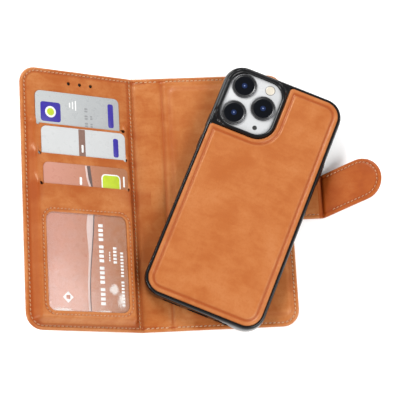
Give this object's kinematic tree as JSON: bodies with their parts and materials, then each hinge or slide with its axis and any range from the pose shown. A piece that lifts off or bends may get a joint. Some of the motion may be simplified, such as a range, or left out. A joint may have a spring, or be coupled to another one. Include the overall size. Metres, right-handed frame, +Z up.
{
  "type": "phone wallet case",
  "caption": "Open leather phone folio with card slots, clear window, magnet panel and strap, and its detached inner case holding a phone.",
  "frame": {"origin": "centre of the back panel's outer face, the face that lies on the table", "axes": "+X from the spine to the strap, +Y to the folio's top edge, +Z up out of the back panel's inside"},
  "size_m": [0.2093, 0.1576, 0.0375],
  "materials": {
    "outer_leather": "satin",
    "lining_leather": "satin",
    "pad_leather": "satin",
    "strap_lining": "satin",
    "case_leather": "satin",
    "board": "matte",
    "magnet": "plated",
    "thread": "matte",
    "film": "clear gloss",
    "card_silver": "gloss",
    "card_white": "gloss",
    "card_rose": "gloss",
    "tpu": "gloss",
    "steel_plate": "brushed",
    "phone_metal": "polished",
    "screen": "gloss",
    "back_glass": "matte",
    "camera_glass": "gloss",
    "lens_ring": "polished",
    "lens_glass": "gloss",
    "flash": "frosted"
  },
  "bodies": {
    "back_panel": {"back_outer": "outer_leather", "back_board": "board", "back_magnets": "magnet", "back_lining": "lining_leather", "magnet_pad": "pad_leather", "back_stitching": "thread"},
    "spine": {"spine_outer": "outer_leather", "spine_board": "board", "spine_lining": "lining_leather", "spine_stitching": "thread"},
    "cover": {"cover_outer": "outer_leather", "cover_board": "board", "cover_lining": "lining_leather", "pocket_panel_1": "lining_leather", "pocket_panel_2": "lining_leather", "window_panel": "lining_leather", "window_film": "film", "cover_stitching": "thread", "window_stitching": "thread"},
    "card_1": {"card_1": "card_silver"},
    "card_2": {"card_2": "card_white"},
    "card_3": {"card_3": "card_rose"},
    "strap_root": {"strap_root_outer": "outer_leather", "strap_root_lining": "strap_lining", "strap_root_stitching": "thread"},
    "strap_tab": {"strap_tab_outer": "outer_leather", "strap_tab_lining": "strap_lining", "strap_magnets": "magnet", "strap_tab_stitching": "thread"},
    "inner_case": {"case_bumper": "tpu", "case_steel_plate": "steel_plate", "case_leather_back": "case_leather", "phone_frame": "phone_metal", "phone_screen": "screen", "phone_back_glass": "back_glass", "camera_plate": "camera_glass", "lens_rings": "lens_ring", "lens_glasses": "lens_glass", "flash_lens": "flash"}
  },
  "joints": [
    {"name": "spine_fold", "type": "hinge", "parent": "back_panel", "child": "spine", "pos_m": [-0.037, 0, 0.0008], "axis": [0, 1, 0], "range_deg": [-88, 0]},
    {"name": "cover_fold", "type": "hinge", "parent": "spine", "child": "cover", "pos_m": [-0.055, 0, 0.0008], "axis": [0, 1, 0], "range_deg": [-115, 18]},
    {"name": "card_1_slide", "type": "slide", "parent": "cover", "child": "card_1", "axis": [0, 1, 0], "range_m": [0, 0.0659]},
    {"name": "card_2_slide", "type": "slide", "parent": "cover", "child": "card_2", "axis": [0, 1, 0], "range_m": [0, 0.0692]},
    {"name": "card_3_slide", "type": "slide", "parent": "cover", "child": "card_3", "axis": [0, 1, 0], "range_m": [0, 0.0729]},
    {"name": "strap_fold", "type": "hinge", "parent": "back_panel", "child": "strap_root", "pos_m": [0.038, -0.0003, 0.0008], "axis": [0, -1, 0], "range_deg": [-88, 0]},
    {"name": "tab_fold", "type": "hinge", "parent": "strap_root", "child": "strap_tab", "pos_m": [0.0555, -0.0003, 0.0008], "axis": [0, -1, 0], "range_deg": [-30, 42]},
    {"name": "case_lift", "type": "slide", "parent": "back_panel", "child": "inner_case", "axis": [0, 0, 1], "range_m": [0, 0.06]}
  ]
}
